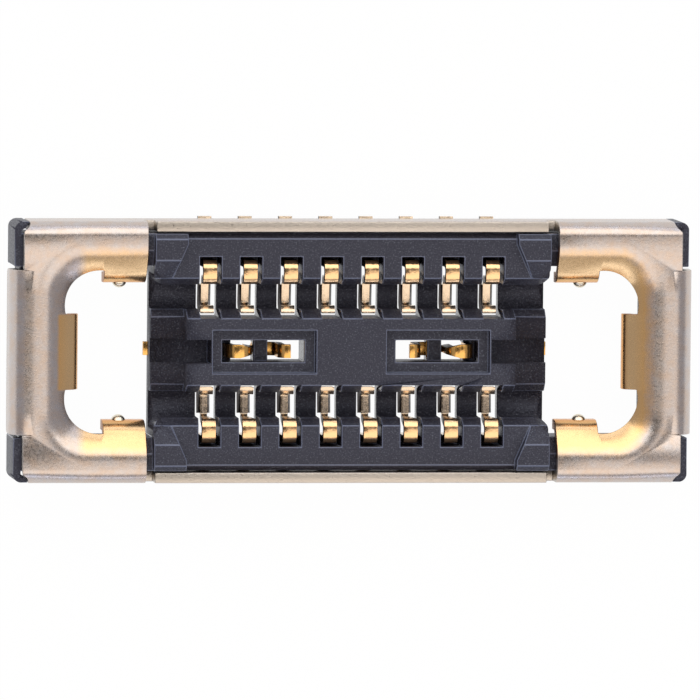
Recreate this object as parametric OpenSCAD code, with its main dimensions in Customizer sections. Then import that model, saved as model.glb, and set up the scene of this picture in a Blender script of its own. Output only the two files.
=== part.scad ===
// Shielded receptacle for joining a flexible circuit to a board, mating side up.
// A moulded housing holds two rows of signal contacts and two centre contacts,
// and one drawn sheet-metal shell wraps it and frames a window at each end.
// Units are millimetres. X is the length, Y the width, and Z = 0 is the solder plane.

/* [Contact rows] */
// Signal contacts in each row
contacts_per_row = 8; // [6:1:10]
// Distance between neighbouring contacts of a row
pitch = 0.35; // [0.34:0.005:0.40]
// Free length of housing beyond the middle of the last contact
end_margin = 0.489; // [0.45:0.001:0.55]

/* [Shell] */
// Width over the side walls
shell_w = 2.25; // [2.00:0.01:2.50]
// Height of the shell's top face above the board
shell_h = 0.65; // [0.60:0.005:0.75]
// Length of an end frame, from the end of the middle body to the flap's face
frame_l = 1.241; // [1.14:0.001:1.40]
// Thickness of the sheet
sheet_t = 0.09; // [0.07:0.005:0.095]
// Height of the lower edge of the side walls
shell_foot = 0.10; // [0.08:0.005:0.12]
// Drop of the plain walls' sheared top edge below the shell's top face
edge_drop = 0.09; // [0.05:0.005:0.11]
// Gap between the end of the middle body and a rolled frame
frame_gap = 0.064; // [0.05:0.001:0.08]
// Width of the relief slot beside each rolled frame
relief_w = 0.08; // [0.04:0.005:0.10]
// Depth of the relief slot below the sheared edge
relief_d = 0.20; // [0.10:0.01:0.25]
// Inside radius of the bend along the side walls
side_bend_r = 0.035; // [0.03:0.005:0.05]
// Inside radius of the bend at the end flaps
flap_bend_r = 0.11; // [0.08:0.01:0.12]
// Distance from the shell's side to the edge of an end flap
flap_side = 0.417; // [0.40:0.001:0.45]
// Radius of the flap's lower corners
flap_corner_r = 0.06; // [0.02:0.01:0.08]
// Height of the lower edge of an end flap
flap_foot = 0.26; // [0.20:0.01:0.35]
// How far the top plate stands back from the flap's face at the corners
plate_back = 0.105; // [0.08:0.005:0.12]
// Radius of the corner notch
notch_r = 0.09; // [0.06:0.005:0.10]

/* [Shell window] */
// Width of the flat band along the sides, from the shell's side to the inner bend
side_band = 0.195; // [0.185:0.005:0.21]
// Width of the band at the ends, from the flap's face to the inner bend
end_band = 0.235; // [0.225:0.005:0.25]
// Plan radius at the start of the bend in the corners
corner_sweep_r = 0.42; // [0.40:0.01:0.46]
// Outside radius of the upper inner bend
upper_bend_r = 0.24; // [0.22:0.005:0.26]
// Outside radius of the lower bend of a side tab
side_lower_r = 0.18; // [0.16:0.005:0.185]
// Outside radius of the lower bend of an end tab
end_lower_r = 0.10; // [0.095:0.005:0.12]
// Slope of the inner flange
flange_angle = 32; // [30:1:34]
// How far a side tab reaches in from the start of its bend, in plan
side_run = 0.34; // [0.33:0.001:0.35]
// How far an end tab reaches in from the start of its bend, in plan
end_run = 0.362; // [0.35:0.001:0.375]
// Upright land at the foot of a side tab
side_tab_land = 0.08; // [0.06:0.01:0.10]
// Upright land at the foot of an end tab
end_tab_land = 0.03; // [0.01:0.01:0.04]
// Plain flange between a side tab and the corner's turn
side_tab_back = 0.155; // [0.14:0.005:0.18]
// Plain flange between the end tab's edge and the corner's turn
end_tab_back = 0.185; // [0.17:0.005:0.21]
// Radius of the scallops in the window's corners
scallop_r = 0.30; // [0.28:0.005:0.31]
// How far a scallop reaches past the face of the side tabs
scallop_side = 0.11; // [0.10:0.001:0.12]
// How far a scallop reaches past the face of the end tab
scallop_end = 0.125; // [0.11:0.001:0.13]
// Place of the locking dimple along its tab, as a share of the tab
dimple_place = 0.60; // [0.50:0.01:0.65]
// Length of the locking dimple, as a share of its tab
dimple_share = 0.34; // [0.30:0.01:0.50]
// How far the dimple stands off the tab
dimple_h = 0.045; // [0.03:0.005:0.06]

/* [Housing] */
// Gap between the housing and the shell's side walls
wall_gap = 0.015; // [0.005:0.005:0.03]
// Drop of the side walls and the island below the shell's top face
wall_drop = 0.13; // [0.12:0.005:0.15]
// Height of the slot floors
floor_top = 0.14; // [0.12:0.005:0.16]
// Gap between the board and the underside of the middle body
standoff = 0.02; // [0.01:0.005:0.03]
// Width between the two side walls at the slot floor
slot_outer_w = 1.15; // [1.08:0.005:1.20]
// Width of the lead-in on the inner edge of the side walls
wall_lead_w = 0.057; // [0.03:0.001:0.07]
// Drop of the lead-in on the inner edge of the side walls
wall_lead_drop = 0.12; // [0.06:0.01:0.16]
// Width of the bevel on the outer top edge of the side walls
wall_bevel = 0.045; // [0.02:0.005:0.06]
// Radius of the inner corner at each end of the side walls, seen from above
wall_end_r = 0.10; // [0.06:0.01:0.12]

/* [Island] */
// Width of each mating slot at its floor
slot_w = 0.22; // [0.21:0.005:0.24]
// Width of the lead-in along the island's long edges
island_lead_w = 0.065; // [0.04:0.005:0.08]
// Drop of the lead-in along the island's long edges
island_lead_drop = 0.14; // [0.08:0.01:0.16]
// Length of the lower step at each end of the island
island_step_l = 0.29; // [0.20:0.01:0.32]
// Depth of the lower step below the island's top
island_step_d = 0.21; // [0.16:0.01:0.23]
// Width of the groove that runs out of each end
end_groove_w = 0.21; // [0.16:0.01:0.22]
// Length of the groove from the end of the island
end_groove_l = 0.50; // [0.40:0.01:0.52]
// Depth of the groove below the step
end_groove_d = 0.07; // [0.04:0.01:0.08]
// Width of the shallow funnel around each centre contact
funnel_w = 0.37; // [0.34:0.01:0.40]
// Depth of the funnel floor below the island's top
funnel_d = 0.10; // [0.06:0.01:0.12]

/* [Guide posts] */
// Drop of the guide posts' tops below the shell's top face
post_drop = 0.025; // [0.01:0.005:0.05]
// Length of a guide post along the wall
post_l = 0.285; // [0.20:0.005:0.30]
// How far a post's inner side is shorter than its outer side
post_taper = 0.13; // [0.05:0.01:0.15]
// Radius of the post's rounded inner end corner
post_corner_r = 0.09; // [0.06:0.01:0.10]
// Width of the post's sloped lead-in face
post_lead_w = 0.16; // [0.10:0.01:0.20]

/* [End frames of the housing] */
// Thickness of an end wall at its foot
end_wall_t = 0.30; // [0.28:0.005:0.31]
// Gap between the rails and the upright lands of the shell's side tabs
rail_gap = 0.056; // [0.045:0.001:0.06]
// Gap between the rails and the shell's top plate
rail_drop = 0.02; // [0.01:0.005:0.04]
// How far the end walls are lower than the rails
end_wall_drop = 0.03; // [0.02:0.005:0.05]
// How far the corner blocks stand back from the faces of the end flaps
block_back = 0.035; // [0.02:0.005:0.05]
// How far the corner blocks stand back from the shell's sides
block_side = 0.005; // [0.000:0.005:0.02]
// Radius of the upright edges of the corner blocks
block_corner_r = 0.07; // [0.03:0.01:0.09]

/* [Signal contacts] */
// Thickness of the contact strip
strip_t = 0.06; // [0.05:0.005:0.065]
// Width of the strip
strip_w = 0.116; // [0.10:0.002:0.13]
// Width of the strip at the throat of a contact
throat_w = 0.056; // [0.05:0.002:0.08]
// How far the tails stand out past the shell
tail_out = 0.015; // [0.01:0.005:0.06]
// How far the outer face of a head stands behind the side wall's foot
head_reach = 0.21; // [0.205:0.005:0.22]
// Drop of the heads below the top of the side walls
head_drop = 0.03; // [0.02:0.005:0.05]
// Inside radius of a head
head_r = 0.0425; // [0.035:0.0025:0.045]
// Inside radius of the other bends
foot_r = 0.03; // [0.02:0.005:0.03]
// Height of the bar's underside
bar_z = 0.04; // [0.03:0.005:0.05]
// How far the spring arms stand inside the island's sides
arm_sink = 0.035; // [0.025:0.005:0.04]
// Upright length at the foot of a spring arm
arm_foot = 0.06; // [0.04:0.005:0.07]
// Lean of the spring arm towards the slot
arm_lean = 4; // [2:1:6]
// Length of the leaning part of the spring arm
arm_l = 0.05; // [0.04:0.005:0.06]
// Turn of the tip back towards the island
tip_turn = 24; // [18:1:28]
// Length of the tip
tip_l = 0.03; // [0.02:0.005:0.035]

/* [Contact cavities] */
// Width of the cavity around each signal contact
cavity_w = 0.19; // [0.17:0.005:0.20]
// Gap behind a head in its pocket
head_gap = 0.0335; // [0.03:0.0005:0.04]
// Gap between a contact's leg and the through slot
leg_gap = 0.015; // [0.01:0.001:0.02]
// Gap behind a spring arm in its through slot
arm_gap = 0.0325; // [0.025:0.0005:0.04]
// Height of the retained part of a contact's leg
retain_z = 0.20; // [0.16:0.01:0.24]
// Play around a contact where the housing holds it
hold_play = 0.002; // [0.001:0.001:0.004]

/* [Centre contacts] */
// How far a centre contact's tail stands out of the middle body
centre_tail_out = 0.036; // [0.02:0.001:0.045]
// Distance from the end of the middle body to a centre head's outer face
centre_head_back = 0.644; // [0.62:0.001:0.66]
// Inside radius of a centre contact's head
centre_head_r = 0.055; // [0.05:0.005:0.06]
// Drop of the centre heads below the island's top
centre_head_drop = 0.06; // [0.04:0.01:0.10]
// Distance from a head's outer face to the inner face of its spring arm
centre_span = 0.51; // [0.49:0.01:0.53]
// Drop of the centre spring arms below the island's top
centre_arm_drop = 0.09; // [0.06:0.01:0.12]
// Length of the turned-over tip of a centre spring arm
centre_tip_l = 0.014; // [0.01:0.001:0.03]
// Gap beyond a centre head in its slot
centre_head_gap = 0.04; // [0.03:0.005:0.06]
// Room beyond a centre spring arm in its slot
centre_arm_room = 0.165; // [0.15:0.005:0.18]
// Width of the centre slots
centre_slot_w = 0.19; // [0.17:0.005:0.20]
// Length of the bridge moulded over each bar
bridge_l = 0.12; // [0.08:0.01:0.13]
// Distance from a head's outer face to the middle of the bridge
bridge_back = 0.315; // [0.31:0.005:0.32]
// Height of the top of the bridge
bridge_top = 0.24; // [0.20:0.01:0.28]

/* [Hidden] */
$fn = 48;
// How far a cutter runs past the face that it opens
past = 0.05;
// Play between the shell and the housing inside it
shell_play = 0.005;
// Bends are drawn with one facet for each of these angles
facet_angle = 10;

// Plan of the middle body and of the shell, measured from the middle
body_half = (contacts_per_row - 1) * pitch / 2 + end_margin;
flap_x = body_half + frame_l;
wall_half = shell_w / 2;
frame_x = body_half + frame_gap;
plate_x = flap_x - plate_back;
frame_r = wall_half - side_bend_r - sheet_t;
flap_half = wall_half - flap_side;

// Window of a frame: starts of the inner bends, faces of the tabs and middle of a scallop
bend_start_x = flap_x - end_band;
bend_start_y = wall_half - side_band;
corner_x = bend_start_x - corner_sweep_r;
corner_y = bend_start_y - corner_sweep_r;
side_tab_y = bend_start_y - side_run;
end_tab_x = bend_start_x - end_run;
side_tab_x = corner_x - side_tab_back;
end_tab_half = corner_y - end_tab_back;
scallop_x = end_tab_x + scallop_end - scallop_r;
scallop_y = side_tab_y + scallop_side - scallop_r;

// Heights that hang from the shell's top face
side_edge_z = shell_h - edge_drop;
wall_top = shell_h - wall_drop;
post_top = shell_h - post_drop;
rail_top = shell_h - sheet_t - rail_drop;
end_wall_top = rail_top - end_wall_drop;
island_step_z = wall_top - island_step_d;
end_groove_z = island_step_z - end_groove_d;
head_top = wall_top - head_drop;
centre_head_top = wall_top - centre_head_drop;
centre_arm_top = wall_top - centre_arm_drop;

// Half widths of the housing, from the middle line out
housing_y = wall_half - sheet_t - wall_gap;
slot_outer_y = slot_outer_w / 2;
slot_mouth_y = slot_outer_y + wall_lead_w;
island_y = slot_outer_y - slot_w;
rail_y = side_tab_y + sheet_t + rail_gap;
end_wall_x = flap_x - sheet_t - shell_play - end_wall_t;

// Places of the contacts' bends and of the cavities around them
head_y = slot_outer_y + head_reach;
arm_y = island_y - arm_sink;
tail_y = wall_half + tail_out;
pocket_y = head_y + head_gap;
through_y = head_y - strip_t - leg_gap;
through_inner_y = arm_y - arm_gap;
centre_head_x = body_half - centre_head_back;
centre_arm_x = centre_head_x - centre_span;
centre_tail_x = body_half + centre_tail_out;
centre_slot_x = centre_head_x + centre_head_gap;
centre_slot_inner_x = centre_arm_x - centre_arm_room;
bridge_x = centre_head_x - bridge_back;

// Points of one side of a bent strip. Each step is [flat length, turn in degrees, inside radius].
// The strip's base line is its right side, and side 1 lies one thickness to the left of it.
function steps_of(turn) = max(1, ceil(abs(turn) / facet_angle));
function left_of(a) = [-sin(a), cos(a)];
function ahead_of(a) = [cos(a), sin(a)];
function bend_centre(q, a, turn, r, t) = q + left_of(a) * (turn > 0 ? r + t : -r);
function bend_radius(turn, r, t, side) = turn > 0 ? r + t - side * t : r + side * t;
function bend_points(q, a, turn, r, t, side) =
    let (c = bend_centre(q, a, turn, r, t), rad = bend_radius(turn, r, t, side),
         n = steps_of(turn), s = turn > 0 ? -1 : 1)
    [for (k = [1 : n]) c + left_of(a + turn * k / n) * rad * s];
function last_of(list) = list[len(list) - 1];
function strip_side(path, t, side, p, a, i = 0) =
    i == len(path) ? [] :
    let (q = p + ahead_of(a) * path[i][0], turn = path[i][1], r = path[i][2])
    concat(
        [q + left_of(a) * t * side],
        turn == 0 ? [] : bend_points(q, a, turn, r, t, side),
        let (next = turn == 0 ? q : last_of(bend_points(q, a, turn, r, t, 0)))
        strip_side(path, t, side, next, a + turn, i + 1)
    );
function reversed(list) = [for (i = [len(list) - 1 : -1 : 0]) list[i]];
function strip_outline(path, t, p, a) = concat(
    [p],
    strip_side(path, t, 0, p, a),
    reversed(strip_side(path, t, 1, p, a)),
    [p + left_of(a) * t]
);

// Length of the flange's flat part, for a tab that reaches in by the given run over a lower bend
function flange_flat(run, lower_r) =
    let (bends = upper_bend_r * sin(flange_angle) + lower_r * (1 - sin(flange_angle)))
    (run - bends) / cos(flange_angle);

// Mirrored copies in the four quarters of the plan
module in_quarters() {
    for (sx = [0, 1]) {
        for (sy = [0, 1]) {
            mirror([sx, 0, 0]) mirror([0, sy, 0]) children();
        }
    }
}

// A block given by its lowest and highest corners
module span(lo, hi) {
    translate(lo) cube(hi - lo);
}

// Extrudes a section drawn in (y, z) along X from x0 to x1
module along_x(x0, x1) {
    translate([x0, 0, 0]) rotate([90, 0, 90]) linear_extrude(x1 - x0) children();
}

// Extrudes a section drawn in (x, z) along Y from y0 to y1
module along_y(y0, y1) {
    translate([0, y1, 0]) rotate([90, 0, 0]) linear_extrude(y1 - y0) children();
}

// Section of one limb of a frame: outer wall, outer bend, top face and the flange.
// A tab's flange ends in a lower bend and an upright land, and a plain one in the same slope.
module limb_section(outer, foot, bend_r, bend_start, run, lower_r, land) {
    wall = shell_h - foot - bend_r - sheet_t;
    top = outer - bend_r - sheet_t - bend_start;
    flat = flange_flat(run, lower_r);
    flange = land > 0
        ? [[flat, 90 - flange_angle, lower_r - sheet_t], [land, 0, 0]]
        : [[flat, 0, 0]];
    polygon(strip_outline(concat(
        [[wall, 90, bend_r], [top, flange_angle, upper_bend_r - sheet_t]],
        flange
    ), sheet_t, [outer, foot], 90));
}

module side_limb(x0, x1, land) {
    along_x(x0, x1)
        limb_section(wall_half, shell_foot, side_bend_r, bend_start_y, side_run, side_lower_r, land);
}

module end_limb(y0, y1, land) {
    along_y(y0, y1)
        limb_section(flap_x, flap_foot, flap_bend_r, bend_start_x, end_run, end_lower_r, land);
}

// Flange alone, drawn outwards from the corner's own axis, for turning round the corner
module corner_flange_section() {
    run = corner_sweep_r * 0.9 - upper_bend_r * sin(flange_angle);
    polygon(strip_outline([
        [0, flange_angle, upper_bend_r - sheet_t],
        [run / cos(flange_angle), 0, 0]
    ], sheet_t, [corner_sweep_r, shell_h], 180));
}

// Quarter ring that carries the flange round a corner of the window
module corner_sweep() {
    translate([corner_x, corner_y, 0]) rotate_extrude(angle = 90) corner_flange_section();
}

// Top face between the two limbs at a corner
module corner_plate() {
    difference() {
        span([corner_x, corner_y, shell_h - sheet_t], [plate_x, frame_r, shell_h]);
        translate([corner_x, corner_y, 0]) cylinder(r = corner_sweep_r, h = shell_h + past);
        span([flap_x - flap_bend_r - sheet_t, 0, 0], [flap_x, flap_half, shell_h + past]);
    }
}

// Middle of the round notch that leaves the plastic corner block bare
function notch_centre() = [plate_x + notch_r / 3, wall_half + notch_r / 10];

// Opens the shell's corner over the block
module notch_cut() {
    notch = notch_centre();
    translate([notch.x, notch.y, 0]) cylinder(r = notch_r, h = shell_h + past);
    span([plate_x, flap_half, 0], [flap_x + past, wall_half + past, shell_h + past]);
}

// Rounds a lower corner of the end flap
module flap_corner_cut() {
    r = flap_corner_r;
    x0 = flap_x - sheet_t - past;
    difference() {
        span([x0, flap_half - r, flap_foot - past], [flap_x + past, flap_half + past, flap_foot + r]);
        translate([x0 - past, flap_half - r, flap_foot + r]) rotate([0, 90, 0])
            cylinder(r = r, h = sheet_t + past * 4);
    }
}

// Window with its scalloped corners, between the tabs
module window_cut() {
    span([frame_x - past, -past, 0], [end_tab_x, side_tab_y, shell_h + past]);
    intersection() {
        translate([scallop_x, scallop_y, 0]) cylinder(r = scallop_r, h = shell_h + past);
        span([side_tab_x, end_tab_half, 0], [flap_x, wall_half, shell_h + past]);
    }
}

// Rounded boss pressed out of a side tab towards the window
module dimple() {
    tab_l = side_tab_x - frame_x;
    half = tab_l * dimple_share / 2;
    r = (half * half + dimple_h * dimple_h) / (2 * dimple_h);
    foot = shell_h - flange_drop(side_run, side_lower_r) - side_tab_land;
    intersection() {
        translate([frame_x + tab_l * dimple_place, side_tab_y + r - dimple_h, foot + half]) sphere(r = r);
        span([frame_x, side_tab_y - dimple_h, foot], [side_tab_x, side_tab_y + sheet_t / 2, shell_h]);
    }
}
function flange_drop(run, lower_r) =
    upper_bend_r * (1 - cos(flange_angle))
    + flange_flat(run, lower_r) * sin(flange_angle)
    + lower_r * cos(flange_angle);

// One quarter of a rolled end frame
module frame_quarter() {
    difference() {
        union() {
            side_limb(frame_x, side_tab_x, side_tab_land);
            side_limb(side_tab_x, corner_x, 0);
            intersection() {
                side_limb(corner_x, plate_x, 0);
                span([corner_x, frame_r, 0], [plate_x, wall_half, shell_h]);
            }
            end_limb(0, end_tab_half, end_tab_land);
            end_limb(end_tab_half, corner_y, 0);
            intersection() {
                end_limb(corner_y, flap_half, 0);
                span([flap_x - flap_bend_r - sheet_t, corner_y, 0], [flap_x, flap_half, shell_h]);
            }
            corner_sweep();
            corner_plate();
        }
        window_cut();
        notch_cut();
        flap_corner_cut();
    }
    dimple();
}

// Plain side wall with its sheared edge and the relief slot beside the frame
module side_wall_quarter() {
    difference() {
        span([0, wall_half - sheet_t, shell_foot], [frame_x, wall_half, side_edge_z]);
        span([frame_x - relief_w, 0, side_edge_z - relief_d], [frame_x, wall_half + past, shell_h]);
    }
}

module shield_shell() {
    color("#b5a594") in_quarters() {
        frame_quarter();
        side_wall_quarter();
    }
}

// Section of a side wall of the middle body
module side_wall_section() {
    polygon([
        [slot_outer_y, standoff],
        [housing_y, standoff],
        [housing_y, wall_top - wall_bevel],
        [housing_y - wall_bevel, wall_top],
        [slot_mouth_y, wall_top],
        [slot_outer_y, wall_top - wall_lead_drop]
    ]);
}

// Section of the island, with bevelled long edges
module island_section(top) {
    drop = island_lead_drop * (top - floor_top) / (wall_top - floor_top);
    polygon([
        [-island_y, standoff],
        [island_y, standoff],
        [island_y, top - drop],
        [island_y - island_lead_w, top],
        [-island_y + island_lead_w, top],
        [-island_y, top - drop]
    ]);
}

// Section of a rail under the rolled frame, sloped on the side of the flange
module rail_section() {
    polygon([
        [rail_y, standoff],
        [housing_y, standoff],
        [housing_y, rail_top],
        [rail_y + (rail_top - rail_knee()) / tan(flange_angle), rail_top],
        [rail_y, rail_knee()]
    ]);
}
// Height where the rail's inner side leaves the upright, a clearance behind the flange
function rail_knee() =
    let (gap = shell_play * 2 + sheet_t,
         back_y = bend_start_y - upper_bend_r * sin(flange_angle) + gap * sin(flange_angle),
         back_z = shell_h - upper_bend_r * (1 - cos(flange_angle)) - gap * cos(flange_angle))
    back_z - (back_y - rail_y) * tan(flange_angle);

// Corner guide post with a rounded inner end and a long lead-in face
module guide_post() {
    x1 = body_half;
    x0 = body_half - post_l;
    y0 = slot_mouth_y;
    y1 = housing_y;
    post_base = wall_top - wall_lead_drop;
    intersection() {
        translate([0, 0, post_base]) linear_extrude(post_top - post_base) union() {
            polygon([
                [x0, y1], [x0, y1 - wall_bevel * 2], [x0 + post_taper, y0],
                [x1 - post_corner_r, y0], [x1, y0 + post_corner_r], [x1, y1]
            ]);
            translate([x1 - post_corner_r, y0 + post_corner_r]) circle(r = post_corner_r);
        }
        along_x(x0, x1) polygon([
            [y0 - past, post_base], [y1, post_base], [y1, post_top - wall_bevel],
            [y1 - wall_bevel, post_top], [y0 + post_lead_w, post_top],
            [y0, wall_top], [y0 - past, post_base]
        ]);
    }
}

// Rounds the inner corner at the end of a side wall, above the slot floor
module wall_end_cut() {
    middle = [body_half - wall_end_r, slot_outer_y + wall_end_r, floor_top];
    difference() {
        span([middle.x, slot_outer_y - past, floor_top], [body_half + past, middle.y, shell_h]);
        translate(middle) cylinder(r = wall_end_r, h = shell_h);
    }
}

// Corner block with the lobe that fills the shell's notch
module corner_block() {
    x1 = flap_x - block_back;
    y1 = wall_half - block_side;
    r = block_corner_r;
    notch = notch_centre();
    span([end_wall_x, rail_y, 0], [x1, housing_y, rail_top]);
    intersection() {
        union() {
            span([end_wall_x, rail_y, 0], [x1, y1 - r, rail_top]);
            span([end_wall_x, rail_y, 0], [x1 - r, y1, rail_top]);
            translate([x1 - r, y1 - r, 0]) cylinder(r = r, h = rail_top);
        }
        union() {
            span([plate_x + shell_play, 0, 0], [x1, y1, rail_top]);
            translate([notch.x, notch.y, 0]) cylinder(r = notch_r - shell_play, h = rail_top);
        }
    }
}

// End wall between the corner blocks, under the end limb of the shell
module end_wall_section() {
    outer = flap_x - sheet_t - shell_play;
    knee_x = rail_y + bend_start_x - bend_start_y;
    slope = tan(flange_angle);
    polygon([
        [end_wall_x, 0],
        [outer, 0],
        [outer, shell_h - sheet_t - flap_bend_r - shell_play],
        [outer - flap_bend_r * 0.75, end_wall_top],
        [knee_x + (end_wall_top - rail_knee()) / slope, end_wall_top],
        [end_wall_x, rail_knee() + (end_wall_x - knee_x) * slope]
    ]);
}

// Room inside the corner for the turned flange of the shell
module corner_room() {
    clear = shell_play * 2 + sheet_t;
    lift = clear / cos(flange_angle);
    top_r = corner_sweep_r - upper_bend_r * sin(flange_angle) + clear * sin(flange_angle);
    top_z = shell_h - upper_bend_r * (1 - cos(flange_angle)) - clear * cos(flange_angle);
    translate([corner_x, corner_y, 0]) rotate_extrude(angle = 90) polygon([
        [0, top_z - top_r * tan(flange_angle)],
        [top_r, top_z],
        [top_r + lift * 0.3, rail_top + past],
        [0, rail_top + past]
    ]);
}

// Through slot, pocket and retention slot of one signal contact of the upper row
module signal_cavity() {
    held_w = strip_w + 2 * hold_play;
    leg_y = head_y + hold_play;
    translate([-cavity_w / 2, 0, 0]) {
        span([0, through_inner_y, 0], [cavity_w, through_y, wall_top + past]);
        span([0, through_y - past, retain_z], [cavity_w, pocket_y, wall_top + past]);
    }
    span([-held_w / 2, through_y - past, 0], [held_w / 2, leg_y, retain_z + past]);
    span([-held_w / 2, through_y - past, 0], [held_w / 2, housing_y + past, strip_t + hold_play]);
    translate([0, leg_y, strip_t + hold_play]) rotate([45, 0, 0])
        cube([held_w, foot_r, foot_r], center = true);
}

// Funnel, slot and bridge of the right centre contact
module centre_cavity() {
    held_w = strip_w + 2 * hold_play;
    x0 = centre_slot_inner_x;
    x1 = centre_slot_x;
    w = centre_slot_w / 2;
    leg_x = centre_head_x;
    difference() {
        span([x0, -w, 0], [x1, w, wall_top + past]);
        span([bridge_x - bridge_l / 2, -w - past, 0], [bridge_x + bridge_l / 2, w + past, bridge_top]);
        span([leg_x - strip_t, -w - past, 0], [x1 + past, w + past, retain_z]);
    }
    span([x0 - funnel_edge(), -funnel_w / 2, wall_top - funnel_d],
         [x1 + funnel_edge(), funnel_w / 2, wall_top + past]);
    span([bridge_x - bridge_l / 2 - past, -held_w / 2, 0],
         [bridge_x + bridge_l / 2 + past, held_w / 2, bar_z + strip_t + hold_play]);
    span([leg_x - strip_t - past, -held_w / 2, 0], [leg_x + hold_play, held_w / 2, retain_z + past]);
    span([leg_x - past, -held_w / 2, 0], [body_half + past, held_w / 2, strip_t + hold_play]);
    translate([leg_x + hold_play, 0, strip_t + hold_play]) rotate([0, 45, 0])
        cube([foot_r, held_w, foot_r], center = true);
}
function funnel_edge() = (funnel_w - centre_slot_w) / 2;

// Groove that runs out of the island's end
module end_groove() {
    span([body_half - end_groove_l, -end_groove_w / 2, end_groove_z],
         [body_half + past, end_groove_w / 2, wall_top + past]);
}

module housing() {
    color("#35323d") difference() {
        union() {
            in_quarters() {
                along_x(0, body_half) side_wall_section();
                along_x(body_half - past, end_wall_x + past) rail_section();
                guide_post();
                corner_block();
                along_y(0, rail_y + past) end_wall_section();
            }
            along_x(-body_half + island_step_l, body_half - island_step_l) island_section(wall_top);
            along_x(-body_half, body_half) island_section(island_step_z);
            span([-body_half, -slot_outer_y - past, standoff],
                 [body_half, slot_outer_y + past, floor_top]);
        }
        for (i = [0 : contacts_per_row - 1]) {
            x = (i - (contacts_per_row - 1) / 2) * pitch;
            translate([x, 0, 0]) signal_cavity();
            translate([x, 0, 0]) mirror([0, 1, 0]) signal_cavity();
        }
        for (side = [0, 1]) {
            mirror([side, 0, 0]) {
                centre_cavity();
                end_groove();
            }
        }
        in_quarters() {
            corner_room();
            wall_end_cut();
        }
    }
}

// Side view of a signal contact: tail, leg, head, neck, bar and spring arm
module signal_profile() {
    bend = foot_r + strip_t;
    head = head_r + strip_t;
    leg_y = head_y - strip_t;
    neck_y = leg_y - 2 * head_r;
    mirror([1, 0, 0]) polygon(strip_outline([
        [tail_y - leg_y - bend, 90, foot_r],
        [head_top - head - bend, -180, head_r],
        [head_top - head - bar_z - bend, 90, foot_r],
        [neck_y - bend - bend - arm_y, 90, foot_r],
        [arm_foot, arm_lean, foot_r],
        [arm_l, -tip_turn, foot_r],
        [tip_l, 0, 0]
    ], strip_t, [-tail_y, 0], 0));
}

// Opens both sides of the neck under the head, so that it tapers down to a throat
module throat_cuts() {
    neck_face = head_y - 2 * (head_r + strip_t);
    for (side = [0, 1]) {
        mirror([side, 0, 0]) along_y(neck_face - foot_r, neck_face + strip_t + head_r / 2) polygon([
            [strip_w / 2, head_top - head_r - strip_t],
            [throat_w / 2, bar_z + strip_t + foot_r],
            [throat_w / 2, 0],
            [strip_w / 2 + past, 0],
            [strip_w / 2 + past, head_top - head_r - strip_t]
        ]);
    }
}

module signal_contact(i) {
    x = (i - (contacts_per_row + 1) / 2) * pitch;
    color("#e0b860") translate([x, 0, 0]) difference() {
        along_x(-strip_w / 2, strip_w / 2) signal_profile();
        throat_cuts();
    }
}

// Side view of a centre contact, which lies along the island
module centre_profile() {
    bend = foot_r + strip_t;
    head = centre_head_r + strip_t;
    leg_x = centre_head_x - strip_t;
    neck_x = leg_x - 2 * centre_head_r;
    mirror([1, 0, 0]) polygon(strip_outline([
        [centre_tail_x - leg_x - bend, 90, foot_r],
        [centre_head_top - head - bend, -180, centre_head_r],
        [centre_head_top - head - bar_z - bend, 90, foot_r],
        [neck_x - bend - bend - centre_arm_x, 90, foot_r],
        [centre_arm_top - bar_z - bend - bend, -90, foot_r],
        [centre_tip_l, 0, 0]
    ], strip_t, [-centre_tail_x, 0], 0));
}

// Plan of what is cut from both sides of a centre contact, from the middle of its head to its neck
module centre_throat_cuts() {
    middle_x = centre_head_x - centre_head_r - strip_t;
    neck_x = middle_x - centre_head_r - strip_t;
    for (side = [0, 1]) {
        mirror([0, side, 0]) linear_extrude(centre_head_top + past) polygon([
            [middle_x, strip_w / 2],
            [neck_x, throat_w / 2],
            [neck_x - foot_r, throat_w / 2],
            [neck_x - foot_r, strip_w / 2 + past],
            [middle_x, strip_w / 2 + past]
        ]);
    }
}

module centre_contact() {
    color("#d9a850") difference() {
        along_y(-strip_w / 2, strip_w / 2) centre_profile();
        centre_throat_cuts();
    }
}

housing();
shield_shell();
signal_contact(1);  // signal_contact_a1
signal_contact(2);  // signal_contact_a2
signal_contact(3);  // signal_contact_a3
signal_contact(4);  // signal_contact_a4
signal_contact(5);  // signal_contact_a5
signal_contact(6);  // signal_contact_a6
signal_contact(7);  // signal_contact_a7
signal_contact(8);  // signal_contact_a8
mirror([0, 1, 0]) signal_contact(1);  // signal_contact_b1
mirror([0, 1, 0]) signal_contact(2);  // signal_contact_b2
mirror([0, 1, 0]) signal_contact(3);  // signal_contact_b3
mirror([0, 1, 0]) signal_contact(4);  // signal_contact_b4
mirror([0, 1, 0]) signal_contact(5);  // signal_contact_b5
mirror([0, 1, 0]) signal_contact(6);  // signal_contact_b6
mirror([0, 1, 0]) signal_contact(7);  // signal_contact_b7
mirror([0, 1, 0]) signal_contact(8);  // signal_contact_b8
mirror([1, 0, 0]) centre_contact();  // centre_contact_left
centre_contact();  // centre_contact_right
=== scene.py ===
import math

import bmesh
import bpy
from bpy.props import FloatProperty, FloatVectorProperty, PointerProperty
from mathutils import Matrix, Vector


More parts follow.
